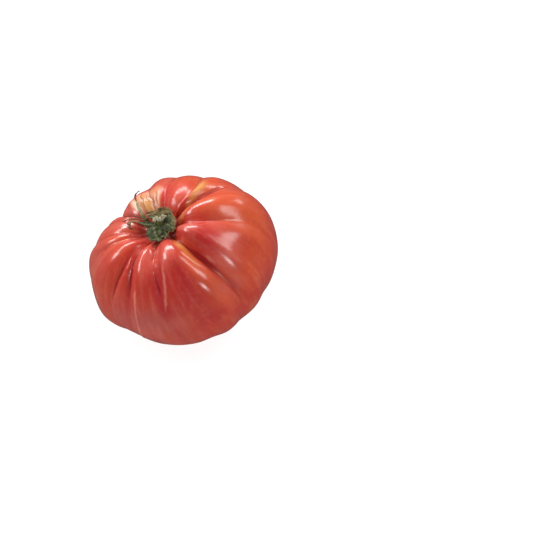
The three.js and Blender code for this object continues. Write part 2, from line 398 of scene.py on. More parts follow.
def near_line(around, down, line, wander=0.0):
    """How much each point belongs to a line down the fruit: 1 on it, 0 away from it."""
    top, foot, start, end, _, half_width = line
    share = np.clip((down - start) / (end - start), 0, 1)
    middle = top + (foot - top) * share + wander * np.sin(down * WANDER_RATE + top)
    millimetres = np.radians(apart(around, middle)) * np.sin(np.radians(down)) * GIRTH_RADIUS / MM
    ends = (fade(down, start + TOP_FADE[0], start + TOP_FADE[1])
            * (1 - fade(down, end + FOOT_FADE[0], end + FOOT_FADE[1])))
    return np.exp(-(millimetres / half_width) ** 2) * ends


print("folds, ridges, cracks:", len(FINE_FOLDS), len(THIN_RIDGES), len(GROWTH_CRACKS),
      "swollen lobes:", len(SWOLLEN_LOBES))

# %% [markdown]
# All of them move the points near them in or out along the skin's normal, in one go, so that none
# depends on another. How much each point belongs to a crack is kept for its colour, and how much it
# belongs to a ridge for a pale line that is partly a pale scar and partly a painted highlight.

# %% Fruit: the skin moved in and out
inwards = np.zeros(len(down))
for lobe in SWOLLEN_LOBES:
    inwards -= lobe[4] * MM * oval(around, down, lobe)
for line in FINE_FOLDS:
    inwards += line[4] * MM * near_line(around, down, line, wander=0.3)
for line in (FILLED_VALLEY, CREASE_END):
    inwards -= line[4] * MM * near_line(around, down, line)
pale_ridge_and_highlight = np.zeros(len(down))
for line in THIN_RIDGES:
    here = near_line(around, down, line, wander=0.2)
    inwards -= line[4] * MM * here
    pale_ridge_and_highlight = np.maximum(pale_ridge_and_highlight, here * (0.4 + line[4]))
crack = np.zeros(len(down))
for line in GROWTH_CRACKS:
    here = near_line(around, down, line, wander=0.8)
    inwards += line[4] * MM * here
    crack = np.maximum(crack, here)
push_in(skin, inwards)
print("deepest", round(inwards.max() / MM, 2), "mm, highest", round(-inwards.min() / MM, 2), "mm")

# %% [markdown]
# A light smoothing then takes off the roughness and leaves out the lines. A stronger one draws
# the skin taut where four ribs are fullest, which makes their highlights broad, and one crease
# is let run out softly at its foot.

# %% Fruit: taut skin between the lines
# Each taut spot: round and down (degrees), its half lengths round and down, and its strength
TAUT_SPOTS = [(213, 27, 11, 10, 1), (258, 34, 6, 9, 0.9), (331, 26, 14, 9, 1), (294, 25, 13, 8, 1)]
LIGHT_SMOOTHING = 8
TAUT_SMOOTHING = 140
CREASE_END_SMOOTHING = 60


def spots(around, down, table):
    """Adds up soft oval spots on the fruit, and keeps the sum between 0 and 1."""
    total = sum(spot[4] * oval(around, down, spot) for spot in table)
    return np.clip(total, 0, 1)


before = points_of(skin)
between_lines = np.clip(1 - np.maximum(crack, 0.8 * fold_line) - 0.5 * pale_ridge_and_highlight, 0, 1)
smooth_where(skin, "between_lines", between_lines, LIGHT_SMOOTHING)
smooth_where(skin, "taut", spots(around, down, TAUT_SPOTS) * (1 - fold_line), TAUT_SMOOTHING)
smooth_where(skin, "crease_end", near_line(around, down, CREASE_END), CREASE_END_SMOOTHING)
moved = np.linalg.norm(points_of(skin) - before, axis=1)
print("smoothing moved points by up to", round(moved.max() / MM, 2), "mm")

# %% [markdown]
# Colour follows growth in part. The parts round the stem and along the sunny ribs stay orange, and
# the skin has its own deep red, rose and pink in places. Other colour is painted light: deep red is
# also painted shade in crease walls, beside the calyx and low on the front, on the shaded underside
# a dull rose is a painted reflection of the pale table, and pink is also painted sheen round
# highlights. Each zone is a soft spot at a place round and down the fruit. All of them are stored on
# the mesh as attributes, which the material reads, so that the pattern stays with the skin.

# %% Fruit: where it is orange, red, rose, yellow and cream
# Each spot: round and down (degrees), its half lengths round and down, and its strength
ORANGE_SPOTS = [
    (5, 62, 26, 26, 0.9), (10, 40, 12, 14, 0.7), (60, 45, 38, 20, 0.7), (303, 40, 7, 17, 0.85),
    (302, 84, 22, 13, 0.5), (325, 92, 20, 14, 0.5), (150, 45, 22, 20, 0.3), (345, 85, 20, 20, 0.4),
    (307, 66, 7, 16, 0.6), (200, 62, 22, 14, 0.35), (100, 60, 60, 25, 0.2), (188, 24, 26, 10, 0.75),
    (273, 78, 7, 9, 0.6), (315, 76, 9, 10, 0.7),
]
# Deep red: partly the skin's own deep red, partly painted shade in crease walls, beside the calyx and low
# on the front
DEEP_RED_AND_SHADE_SPOTS = [
    (328, 38, 11, 14, 0.8), (286, 47, 8, 18, 0.75), (262, 42, 11, 13, 0.45), (350, 20, 12, 5, 0.4),
    (285, 70, 12, 12, 0.5), (75, 22, 12, 6, 0.5), (232, 33, 12, 9, 0.4), (290, 44, 6, 10, 0.5),
    (240, 62, 6, 14, 0.5), (268, 60, 5, 17, 0.95), (275, 40, 4, 9, 0.8), (314.5, 50, 3, 14, 0.9),
    (200, 14, 22, 7, 0.6), (293, 93, 13, 12, 0.75),
]
# Rose: on the crown the skin's own rose, on the underside a painted reflection of the pale table
ROSE_AND_TABLE_REFLECTION_SPOTS = [
    (246, 76, 38, 18, 0.95), (196, 38, 20, 20, 0.35), (140, 26, 14, 9, 0.9), (165, 22, 20, 7, 0.45),
    (162, 55, 30, 24, 0.4), (96, 33, 24, 8, 0.5), (250, 100, 38, 20, 0.5), (150, 100, 60, 22, 0.5),
    (30, 105, 50, 20, 0.4), (336, 55, 7, 12, 0.35),
]
# Pink: partly the skin's own pink, partly painted sheen round highlights and painted light on lit flanks
PINK_AND_SHEEN_SPOTS = [
    (324, 58, 12, 16, 0.9), (345, 42, 10, 8, 0.4), (289, 30, 8, 7, 0.7), (262, 32, 8, 8, 0.5),
    (165, 48, 26, 18, 0.6), (195, 70, 20, 14, 0.5), (60, 24, 16, 8, 0.4), (278, 34, 5, 12, 0.5),
    (252, 88, 14, 10, 0.5), (140, 34, 12, 8, 0.6), (30, 60, 14, 20, 0.3), (333, 24, 9, 7, 0.8),
    (252, 20, 14, 8, 0.5), (308, 76, 8, 12, 0.65), (317, 84, 7, 8, 0.5), (272, 82, 7, 9, 0.4),
]
YELLOW_SPOTS = [(305, 27, 5, 7, 0.7), (96, 22, 9, 7, 0.6), (358, 17, 8, 3, 0.4), (306, 40, 3, 9, 0.3)]
PATCH_SPOTS = [(125, 24, 9, 9, 1.0), (108, 24, 10, 9, 0.9), (91, 22, 9, 8, 0.75), (108, 16, 12, 3, 0.5)]
CREAM_SPOTS = [(127, 24, 7, 8, 0.8), (104, 18, 4, 3, 0.5), (88, 19, 4, 5, 0.4)]
OCHRE_SPOTS = [(112, 19, 9, 6, 1.0), (97, 27, 5, 5, 0.4)]
# Where the skin shines less: the far side of the crown, the cavity and two more places
DULL_SPOTS = [(52, 23, 22, 8, 0.6), (82, 24, 10, 7, 0.7), (33, 44, 12, 12, 0.65), (29, 31, 8, 6, 0.5),
              (10, 51, 9, 8, 0.9), (332, 42, 6, 7, 0.8), (238, 20, 8, 6, 1.0), (180, 12, 30, 3, 0.9),
              (219, 17, 6, 4, 0.8)]
# The middle of a yellow streak that crosses from one rib to the next: down, and round there
YELLOW_STREAK = ([16, 19, 22, 25, 30, 43, 50], [0, 7, 18, 26, 34, 50, 55])
STREAK_HALF_WIDTH = 7.5
STREAK_STRENGTH = 0.65

streak_middle = np.interp(down, *YELLOW_STREAK)
streak = (np.exp(-(apart(around, streak_middle) / STREAK_HALF_WIDTH) ** 2)
          * fade(down, 15, 22) * (1 - fade(down, 34, 48)))
zones = {"orange": ORANGE_SPOTS, "deep": DEEP_RED_AND_SHADE_SPOTS, "rose": ROSE_AND_TABLE_REFLECTION_SPOTS, "pink": PINK_AND_SHEEN_SPOTS,
         "yellow": YELLOW_SPOTS, "patch": PATCH_SPOTS, "cream": CREAM_SPOTS, "ochre": OCHRE_SPOTS,
         "dull": DULL_SPOTS}
for name, table in zones.items():
    strength = spots(around, down, table)
    if name == "yellow":
        strength = np.clip(strength + STREAK_STRENGTH * streak, 0, 1)
    keep_on_points(skin, name, strength)
    print(name, "has a mean strength of", round(float(strength.mean()), 3))
keep_on_points(skin, "crack", crack)
keep_on_points(skin, "pale_ridge_and_highlight", pale_ridge_and_highlight)

# %% [markdown]
# The valleys are found from the shape itself, by the same means as the crests: wherever the skin
# lies deeper than a smoothed copy of it, it is in a furrow, and the deeper it lies, the darker the
# painted shade that the material gives it there. The grain is a set of coordinates that turn with
# the fruit, so that a pattern on them runs in streaks down from the stem.

# %% Fruit: how deep each point lies in a furrow
FURROW_SMOOTHING = 60
DARK_PER_MM = 0.55
DARK_ON_FOLD = 0.5
# Painted furrow shade is left out in the patch with the cracks and at the foot of the front right crease
PALE_FURROWS = PATCH_SPOTS + [(317, 73, 9, 12, 0.8)]
PALE_SHARE = 0.9
GRAIN_LENGTH = 420


def keep_grain(obj, azimuth, along):
    """Stores coordinates that turn with the piece, for streaks that follow its growth."""
    grain = np.stack([np.cos(azimuth), np.sin(azimuth), along], axis=1)
    layer = obj.data.attributes.new("grain", "FLOAT_VECTOR", "POINT")
    layer.data.foreach_set("vector", grain.ravel())


sunk = -above_smoothed(FURROW_SMOOTHING) / MM
furrow = np.clip(DARK_PER_MM * sunk + DARK_ON_FOLD * fold_line ** 2, 0, 1)
furrow *= 1 - PALE_SHARE * spots(around, down, PALE_FURROWS)
keep_on_points(skin, "furrow", furrow)
keep_grain(skin, np.radians(around), down / GRAIN_LENGTH)
print("deepest furrow", round(sunk.max(), 2), "mm, points in one:", int((sunk > 0.4).sum()))

# %% [markdown]
# A material is a small network of nodes. The helpers below add one node at a time.

# %% Helpers for materials
def new_material(name):
    """An empty node material, and its shader."""
    material = bpy.data.materials.new(name)
    material.use_nodes = True
    return material, material.node_tree, material.node_tree.nodes["Principled BSDF"]


def fill(tree, node, inputs):
    """Fills the inputs of a node from plain values or from the outputs of other nodes."""
    for name, value in inputs.items():
        if isinstance(value, bpy.types.NodeSocket):
            tree.links.new(value, node.inputs[name])
        else:
            node.inputs[name].default_value = value


def add_node(tree, kind, inputs, output=0, **settings):
    """Adds a node with its settings and inputs, and returns one of its outputs."""
    made = tree.nodes.new(kind)
    for name, value in settings.items():
        setattr(made, name, value)
    fill(tree, made, inputs)
    return made.outputs[output]


def attribute(tree, name, output="Fac"):
    """Reads an attribute of the mesh."""
    return add_node(tree, "ShaderNodeAttribute", {}, output, attribute_name=name)


def noise(tree, scale, detail=3.0, coordinates=None, roughness=0.5):
    """A noise pattern between 0 and 1, on Object coordinates unless others are given."""
    if coordinates is None:
        coordinates = add_node(tree, "ShaderNodeTexCoord", {}, "Object")
    return add_node(tree, "ShaderNodeTexNoise", {"Vector": coordinates, "Scale": scale, "Detail": detail,
                                                 "Roughness": roughness})


def remap(tree, value, low, high, to_low=0.0, to_high=1.0):
    """Stretches the range from low to high onto another one, and cuts off what lies outside."""
    return add_node(tree, "ShaderNodeMapRange", {"Value": value, "From Min": low, "From Max": high,
                                                 "To Min": to_low, "To Max": to_high})


def maths(tree, operation, first, second):
    """One sum on two values or sockets."""
    return add_node(tree, "ShaderNodeMath", {0: first, 1: second}, operation=operation)


def mix_colours(tree, share, first, second):
    """Blends from the first colour to the second one."""
    inputs = {0: share, 6: first, 7: second}
    return add_node(tree, "ShaderNodeMix", inputs, 2, data_type="RGBA")


def bump(tree, height, distance, strength, normal=None):
    """Turns a height pattern into a tilt of the surface."""
    inputs = {"Height": height, "Distance": distance, "Strength": strength}
    if normal is not None:
        inputs["Normal"] = normal
    return add_node(tree, "ShaderNodeBump", inputs)


def dress(obj, material):
    """Gives a piece its only material, and smooth shading."""
    obj.data.materials.clear()
    obj.data.materials.append(material)
    pick(obj)
    bpy.ops.object.shade_smooth()


# %% [markdown]
# Tomato skin is a thin clear film over coloured flesh: glossy, with a little light that travels
# under the surface. Its colour is blended from a few tones by the attributes, and noise makes each
# border ragged. Some of the tones are painted light: shade in the valleys and furrows, sheen round
# highlights, highlight on the pale ridge lines and a reflection of the table on the underside. Fine
# streaks follow the growth down from the stem, on the grain. The film itself is a coat over the
# flesh, and it is duller on the dried patch and at the bottom of the furrows.

# %% Skin finish
CORAL = (0.52, 0.036, 0.016, 1)
ORANGE = (0.62, 0.075, 0.018, 1)
DEEP_RED = (0.46, 0.013, 0.015, 1)
FURROW_SHADE_RED = (0.31, 0.005, 0.012, 1)
DULL_ROSE = (0.48, 0.086, 0.07, 1)
YELLOW = (0.66, 0.29, 0.075, 1)
SALMON = (0.64, 0.24, 0.13, 1)
CREAM = (0.76, 0.52, 0.38, 1)
OCHRE = (0.6, 0.25, 0.06, 1)
CRACK_BROWN = (0.3, 0.09, 0.025, 1)
BRIGHT_PINK = (0.66, 0.12, 0.085, 1)
PALE_PINK = (0.8, 0.3, 0.2, 1)
SHADED_ROSE = (0.32, 0.03, 0.024, 1)

skin_material, tree, skin_shader = new_material("tomato_skin")
grain_place = attribute(tree, "grain", "Vector")
mottle = noise(tree, 90, 4)
fine_mottle = noise(tree, 420, 3)
streaks = noise(tree, 7, 4, grain_place, 0.55)
fine_streaks = noise(tree, 15, 3, grain_place, 0.5)


def ragged(name, low, high):
    """An attribute whose border is broken up by the mottle."""
    broken = maths(tree, "ADD", attribute(tree, name), remap(tree, mottle, 0.3, 0.7, -0.16, 0.16))
    return remap(tree, broken, low, high)


colour = CORAL
# The rose, pink and deep red tones carry painted reflection, sheen and shade as well as the skin's own
# colour.
for zone, low, high, tone in [("orange", 0.05, 0.85, ORANGE), ("rose", 0.1, 1.1, DULL_ROSE),
                              ("pink", 0.1, 1.0, BRIGHT_PINK), ("deep", 0.05, 0.9, DEEP_RED)]:
    colour = mix_colours(tree, ragged(zone, low, high), colour, tone)
for pattern, low, high, share, tone in [
        (streaks, 0.5, 0.75, 0.4, DEEP_RED), (streaks, 0.48, 0.28, 0.35, ORANGE),
        (fine_streaks, 0.5, 0.8, 0.16, PALE_PINK), (fine_streaks, 0.48, 0.2, 0.25, SHADED_ROSE)]:
    colour = mix_colours(tree, remap(tree, pattern, low, high, 0, share), colour, tone)
colour = mix_colours(tree, ragged("yellow", 0.1, 0.8), colour, YELLOW)
patch = mix_colours(tree, ragged("ochre", 0.2, 0.8), SALMON, OCHRE)
patch = mix_colours(tree, ragged("cream", 0.2, 0.8), patch, CREAM)
patch = mix_colours(tree, remap(tree, fine_streaks, 0.5, 0.7, 0, 0.4), patch, CREAM)
colour = mix_colours(tree, ragged("patch", 0.25, 0.7), colour, patch)
colour = mix_colours(tree, remap(tree, fine_mottle, 0.5, 0.8, 0, 0.05), colour, CREAM)
# Painted shade: the deeper a point lies in a furrow, the more its colour goes to a dark red.
colour = mix_colours(tree, remap(tree, attribute(tree, "furrow"), 0.2, 1, 0, 0.75), colour, FURROW_SHADE_RED)
colour = mix_colours(tree, remap(tree, attribute(tree, "crack"), 0.25, 0.8, 0, 0.85), colour, CRACK_BROWN)
# Painted highlight: the ridges get a pale pink line, partly a pale scar and partly a painted highlight.
pale = maths(tree, "MULTIPLY", attribute(tree, "pale_ridge_and_highlight"), remap(tree, mottle, 0.3, 0.6, 0.5, 1))
colour = mix_colours(tree, remap(tree, pale, 0.25, 0.9, 0, 0.55), colour, PALE_PINK)
print("tones blended in the skin:", sum(node.type == "MIX" for node in tree.nodes))

# %% Skin gloss and relief
COAT_ROUGHNESS = 0.19
COAT_IOR = 1.58
LIGHT_DEPTH = 3 * MM

gloss = remap(tree, attribute(tree, "patch"), 0.3, 0.9, 0.85, 0.3)
gloss = maths(tree, "MULTIPLY", gloss, remap(tree, attribute(tree, "furrow"), 0.25, 0.9, 1, 0.15))
gloss = maths(tree, "MULTIPLY", gloss, remap(tree, attribute(tree, "dull"), 0, 1, 1, 0.15))
on_object = add_node(tree, "ShaderNodeTexCoord", {}, "Object")
pores = add_node(tree, "ShaderNodeTexVoronoi", {"Vector": on_object, "Scale": 900.0}, "Distance")
relief = bump(tree, streaks, 0.06 * MM, 0.2)
relief = bump(tree, remap(tree, pores, 0, 0.35), 0.03 * MM, 0.15, relief)
fill(tree, skin_shader, {
    "Base Color": colour, "Roughness": remap(tree, fine_mottle, 0.3, 0.7, 0.4, 0.5),
    "Specular IOR Level": 0.2, "Normal": relief,
    "Coat Weight": gloss, "Coat Roughness": COAT_ROUGHNESS, "Coat IOR": COAT_IOR,
    "Subsurface Weight": 0.12, "Subsurface Radius": (1, 0.25, 0.12), "Subsurface Scale": LIGHT_DEPTH})
dress(skin, skin_material)
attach(skin, "root")
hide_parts("fruit")
print("skin material:", len(tree.nodes), "nodes")

# %% [markdown]
# The calyx is the star of small leaves round the stem. Each leaf, or sepal, is a thin blade with a
# midrib, widest near its root and drawn out to a dry tip. One flat blade is modelled as a grid, and
# a copy of it is then laid along the path of each sepal, so that all of them share its veins.

# %% Sepal: one flat blade
BLADE_COLUMNS = 12
BLADE_ROWS = 40
MIDRIB_HEIGHT = 0.16
VEIN_HEIGHT = 0.07

bpy.ops.object.select_all(action="DESELECT")
bpy.ops.mesh.primitive_grid_add(x_subdivisions=BLADE_COLUMNS, y_subdivisions=BLADE_ROWS, size=2)
blade = bpy.context.active_object
blade.name = "flat_sepal"
flat = points_of(blade)
blade_across, blade_along = flat[:, 0].copy(), (flat[:, 1] + 1) / 2
print("flat sepal:", len(flat), "points")

# %% [markdown]
# A sepal leans on the skin and doesn't cut into it. The nearest place of the skin is looked up for
# every point of a blade, and a point that lies too deep is moved out.

# %% Sepal: resting on the skin
SEPAL_CLEARANCE = 0.4 * MM

skin_tree = BVHTree.FromObject(skin, bpy.context.evaluated_depsgraph_get())


def above_skin(place):
    """The nearest place of the skin, its outward direction, and the height above it."""
    near, normal, _, _ = skin_tree.find_nearest(Vector(place))
    return near, normal, (Vector(place) - near).dot(normal)


def rest_on_skin(obj, clearance):
    """Moves the points that are inside the skin, or too close to it, out to a small gap."""
    places = points_of(obj)
    moved = 0
    for index, place in enumerate(places):
        near, normal, height = above_skin(place)
        if height < clearance:
            places[index] = np.array(near + normal * clearance)
            moved += 1
    move_points(obj, places)
    return moved


# %% [markdown]
# The path of each sepal is a short list of points in the frame of the stem, in millimetres from the
# middle of the cavity floor, as it would be measured on the fruit. A smooth curve runs through
# them. Where it would come too close to the skin, it is lifted off with soft starts and ends,
# because a thin blade that is only pushed out point by point looks broken.

# %% Sepal: a smooth path over the skin
SEAT_HEIGHT = 27.2
PATH_CLEARANCE = 0.9 * MM


def smooth_path(corners, count):
    """Evenly spaced points on a smooth curve through the corners."""
    corners = np.array(corners, dtype=float)
    ends = np.vstack([2 * corners[0] - corners[1], corners, 2 * corners[-1] - corners[-2]])
    dense = []
    for i in range(1, len(ends) - 2):
        before, start, end, after = ends[i - 1:i + 3]
        for t in np.linspace(0, 1, 24, endpoint=False):
            dense.append(0.5 * (2 * start + (end - before) * t
                                + (2 * before - 5 * start + 4 * end - after) * t ** 2
                                + (3 * start - before - 3 * end + after) * t ** 3))
    dense = np.array(dense + [corners[-1]])
    run = np.concatenate([[0], np.cumsum(np.linalg.norm(np.diff(dense, axis=0), axis=1))])
    even = np.linspace(0, run[-1], count)
    return np.stack([np.interp(even, run, dense[:, axis]) for axis in range(3)], axis=1)


def off_the_skin(path):
    """Lifts the parts of a path that come too close to the skin, with soft starts and ends."""
    places = leaned((path + (0, 0, SEAT_HEIGHT)) * MM)
    lifts = np.zeros_like(places)
    for index, place in enumerate(places):
        _, normal, height = above_skin(place)
        lifts[index] = np.array(normal) * max(0, PATH_CLEARANCE - height)
    soft = np.array([lifts[max(0, i - 3):i + 4].mean(axis=0) for i in range(len(lifts))])
    return upright(places + soft) / MM - (0, 0, SEAT_HEIGHT)


# %% [markdown]
# The blade is carried along its path: its width goes sideways, and its midrib, its fold and its
# curl go up. Procedural noise tears its rim and crumples it, differently for each sepal.

# %% Sepal: laying a copy along its path
RIM_TEARS = 0.3
VEIN_WAVES = 16
VEIN_SLANT = 4
MIDRIB_HALF_WIDTH = 0.12
FLAT_ROOT = 0.25


def blade_frames(path, turn):
    """The sideways and the upward direction at each point of a path, turned about the path."""
    ahead = np.gradient(path, axis=0)
    ahead /= np.linalg.norm(ahead, axis=1, keepdims=True)
    side = np.stack([-path[:, 1], path[:, 0], np.zeros(len(path))], axis=1)
    side -= ahead * (side * ahead).sum(axis=1, keepdims=True)
    side /= np.linalg.norm(side, axis=1, keepdims=True)
    up = np.cross(ahead, side)
    angle = np.radians(np.linspace(turn[0], turn[1], len(path)))[:, None]
    return side * np.cos(angle) + up * np.sin(angle), up * np.cos(angle) - side * np.sin(angle)


def half_width_along(along, half, blunt):
    """Narrow at the root, widest past a quarter, and drawn out to a tip that is blunt or sharp."""
    return half * (0.45 + 0.55 * fade(along, 0, 0.3)) * (1 - along ** blunt) ** 0.8 + 0.08


def lay_blade(name, path, half, blunt, fold, turn, wave, crumple, seed):
    """Lays a copy of the flat blade along a path, folded at its midrib, waved and crumpled."""
    pick(blade)
    bpy.ops.object.duplicate()
    sepal = bpy.context.active_object
    sepal.name = name
    line = off_the_skin(smooth_path(path, BLADE_ROWS + 1))
    side, up = blade_frames(line, turn)
    row = np.rint(blade_along * BLADE_ROWS).astype(int)
    torn = np.array([noise_at(Vector((side_sign * 3 + seed, y * 16, seed))) for side_sign, y in
                     zip(np.sign(blade_across), blade_along)])
    reach = half_width_along(blade_along, half, blunt) * blade_across * (1 + RIM_TEARS * torn)
    edge = np.abs(blade_across)
    ripple = wave * half * edge ** 2 * np.sin(blade_along * 11 + seed + 2.2 * blade_across)
    veins = VEIN_HEIGHT * np.cos((blade_along * VEIN_WAVES - edge * VEIN_SLANT) * math.pi)
    veins *= edge * (1 - edge)
    creased = np.array([noise_at(Vector((x * 1.3 + seed, y * 4.5, seed * 2)))
                        + 0.45 * noise_at(Vector((x * 3.2, y * 11, seed * 3)))
                        for x, y in zip(blade_across, blade_along)])
    midrib = MIDRIB_HEIGHT * np.exp(-(blade_across / MIDRIB_HALF_WIDTH) ** 2)
    lift = fold * np.abs(reach) + ripple + midrib
    lift += veins + crumple * creased * fade(blade_along, 0, FLAT_ROOT)
    places = line[row] + side[row] * reach[:, None] + up[row] * lift[:, None]
    places[:, 2] += SEAT_HEIGHT
    move_points(sepal, leaned(places * MM))
    return sepal


# %% [markdown]
# The sepals. Three broad ones hang over the front of the cavity like an apron, a narrower one curls
# round the right, three lie against its back, a long one reaches up to the back left and ends in
# a dry thread, and narrow ones lie to the left, with their dry tips curled.

# %% Sepals: blades on their paths
# Each sepal: name, half width, bluntness, fold, turn at root and tip, wave, crumple, dryness, path
SEPALS = [
    ("front_left", 5.0, 5, 0.05, (8, -12), 0.12, 1.3, 0.0,
     [(0.2, -0.6, 5.0), (-0.4, -3.6, 6.6), (-0.2, -7.0, 6.0), (1.0, -10.4, 4.6), (2.2, -13.4, 5.4)]),
    ("front_middle", 4.4, 6, 0.05, (-10, 10), 0.15, 1.2, 0.05,
     [(2.4, -1.6, 4.6), (4.6, -4.8, 6.4), (6.0, -8.4, 5.6), (7.2, -11.6, 5.4)]),
    ("front_right", 3.8, 5, 0.2, (0, 20), 0.15, 1.1, 0.05,
     [(2.6, -1.2, 4.8), (6.2, -3.2, 6.8), (9.4, -6.0, 6.6), (12.0, -9.4, 6.4)]),
    ("right_loop", 2.3, 4, 0.3, (20, 50), 0.15, 0.8, 0.5,
     [(4.0, 2.0, 5.2), (7.6, 2.4, 6.8), (10.4, 0.0, 7.2), (12.0, -3.0, 7.2), (12.2, -6.0, 6.8),
      (11.2, -8.6, 6.6)]),
    ("back_right", 2.4, 4, 0.2, (0, 20), 0.15, 0.8, 0.55,
     [(1.2, 4.0, 5.2), (2.6, 7.2, 6.4), (7.8, 5.2, 7.0), (10.8, 3.4, 7.2)]),
    ("back_left", 2.1, 4, 0.2, (0, -20), 0.15, 0.8, 0.65,
     [(1.4, 5.6, 5.6), (-0.3, 7.2, 6.2), (-4.0, 7.6, 6.6), (-6.8, 8.4, 7.2)]),
    ("back_inner", 1.8, 3, 0.3, (20, 60), 0.15, 0.8, 0.2,
     [(0.6, 2.0, 5.0), (-1.6, 4.2, 6.4), (-4.6, 5.0, 6.6), (-7.6, 5.2, 6.6)]),
    ("long_blade", 0.9, 8, 0.3, (0, 0), 0.05, 0.25, 0.45,
     [(-3, 2.4, 4.6), (-7.2, 5.4, 5.8), (-8.6, 9, 8.0), (-10.0, 13, 9.4), (-11.4, 18.2, 10.2)]),
    ("long_tip", 0.45, 2, 0.3, (30, 60), 0.1, 0.1, 1.5,
     [(-11.2, 17.6, 10.3), (-11.9, 19.6, 11.0), (-11.4, 21.4, 11.6), (-10.2, 22.2, 12.0),
      (-8.2, 22.6, 12.2)]),
    ("left_green", 1.35, 5, 0.3, (5, 20), 0.12, 0.4, -0.3,
     [(-1.4, 0.2, 5.0), (-6.0, 1.6, 5.6), (-8.6, 2.8, 6.2), (-11.6, 4.0, 6.8)]),
    ("left_curl", 1.3, 3, 0.3, (20, 80), 0.1, 0.3, 0.9,
     [(-10.6, 3.6, 7.0), (-13.2, 4.2, 8.4), (-14.8, 3.2, 9.2), (-15.4, 1.0, 9.6), (-14.6, -1.0, 9.2),
      (-12.6, -1.6, 8.4)]),
    ("left_low", 0.9, 3, 0.3, (5, 20), 0.12, 0.4, 0.0,
     [(-1.6, -0.6, 5.0), (-5.0, -0.2, 5.4), (-8.0, 0.4, 5.6)]),
    ("left_thread", 0.5, 3, 0.4, (10, 40), 0.05, 0.2, 1.3,
     [(-3.2, 2.2, 4.4), (-7.6, 6.0, 5.8), (-11.0, 8.0, 7.4), (-15.0, 8.4, 9.2), (-18.6, 7.6, 10.4)]),
    ("left_wisp", 0.4, 3, 0.4, (10, 40), 0.05, 0.2, 1.3,
     [(-7.0, 4.6, 5.8), (-11.4, 6.2, 7.4), (-15.4, 6.0, 9.2), (-18.8, 4.6, 10.2)]),
]

SEPAL_THICKNESS = 0.42 * MM
PALE_SEPALS = {"long_blade": 1.0, "back_left": 0.3, "right_loop": 0.3}

sepals = []
for order, (name, half, blunt, fold, turn, wave, crumple, dry, path) in enumerate(SEPALS):
    sepal = lay_blade("sepal_" + name, path, half, blunt, fold, turn, wave, crumple, 1.7 * order)
    moved = rest_on_skin(sepal, SEPAL_CLEARANCE)
    keep_on_points(sepal, "along", blade_along)
    keep_on_points(sepal, "across", blade_across)
    keep_on_points(sepal, "dry", np.full(len(blade_along), dry))
    keep_on_points(sepal, "pale", PALE_SEPALS.get(name, 0) * fade(blade_along, 0.25, 0.9))
    finish_modifier(sepal, "SOLIDIFY", thickness=SEPAL_THICKNESS, offset=0)
    finish_modifier(sepal, "SUBSURF", levels=1, render_levels=1)
    sepals.append(sepal)
    print(name, "points moved out:", moved, "triangles:", triangle_count(sepal))
bpy.data.objects.remove(blade)

# %% [markdown]
# The disc is the cushion from which the sepals and the stalk grow. It starts as a ball, is pressed
# flat, and gets a knuckle under each sepal.

# %% Disc under the sepals
DISC_RADIUS = 6.2
DISC_HEIGHT = 1.9
DISC_LIFT = 2.3
DISC_KNUCKLES = 9
KNUCKLE_DEPTH = 0.09
DISC_CLEARANCE = 0.3 * MM

bpy.ops.object.select_all(action="DESELECT")
bpy.ops.mesh.primitive_uv_sphere_add(segments=48, ring_count=16, radius=DISC_RADIUS)
disc = bpy.context.active_object
disc.name = "calyx_disc"
places = points_of(disc)
turn_round = np.arctan2(places[:, 1], places[:, 0])
girth = np.hypot(places[:, 0], places[:, 1]) / DISC_RADIUS
knuckle = 1 + KNUCKLE_DEPTH * np.cos(DISC_KNUCKLES * turn_round) * girth
places[:, :2] *= knuckle[:, None]
places[:, 2] = places[:, 2] / DISC_RADIUS * DISC_HEIGHT + SEAT_HEIGHT + DISC_LIFT
move_points(disc, leaned(places * MM))
rest_on_skin(disc, DISC_CLEARANCE)
for name, value in [("along", 0.1), ("across", 0.5), ("dry", 0.3), ("pale", 0)]:
    keep_on_points(disc, name, np.full(len(places), value))
print("disc:", triangle_count(disc), "triangles")

# %% [markdown]
# Sepals are matt and softly hairy. Fresh parts are a bluish green, and they dry from the tip and
# the edges to olive and brown. The attributes say how far along and across a blade each point is,
# so the drying and the veins follow it wherever it bends.

# %% Sepal finish
LEAF_GREEN = (0.05, 0.066, 0.016, 1)
LEAF_SHADE = (0.012, 0.017, 0.007, 1)
LEAF_LIGHT = (0.22, 0.23, 0.09, 1)
LEAF_OLIVE = (0.2, 0.13, 0.045, 1)
LEAF_BROWN = (0.17, 0.055, 0.022, 1)
LEAF_PALE = (0.4, 0.31, 0.19, 1)

leaf_material, tree, leaf_shader = new_material("sepal_leaf")
along, across, dry = (attribute(tree, name) for name in ("along", "across", "dry"))
leaf_mottle = noise(tree, 420, 4, roughness=0.6)
leaf_fine = noise(tree, 1500, 4)
edge = maths(tree, "ABSOLUTE", across, 0)
colour = mix_colours(tree, remap(tree, leaf_mottle, 0.35, 0.65), LEAF_SHADE, LEAF_GREEN)
colour = mix_colours(tree, remap(tree, leaf_fine, 0.5, 0.72, 0, 0.55), colour, LEAF_LIGHT)
midrib = remap(tree, edge, 0.05, 0.16, 0.5, 0)
colour = mix_colours(tree, midrib, colour, LEAF_LIGHT)
dried = maths(tree, "ADD", maths(tree, "MULTIPLY", along, 0.7), maths(tree, "MULTIPLY", edge, 0.25))
dried = maths(tree, "ADD", dried, remap(tree, leaf_mottle, 0.3, 0.7, -0.25, 0.25))
dried = maths(tree, "ADD", dried, dry)
colour = mix_colours(tree, remap(tree, dried, 0.7, 1.0), colour, LEAF_OLIVE)
colour = mix_colours(tree, remap(tree, dried, 1.15, 1.5), colour, LEAF_BROWN)
pale = maths(tree, "MULTIPLY", attribute(tree, "pale"), remap(tree, leaf_mottle, 0.35, 0.6, 0.35, 1))
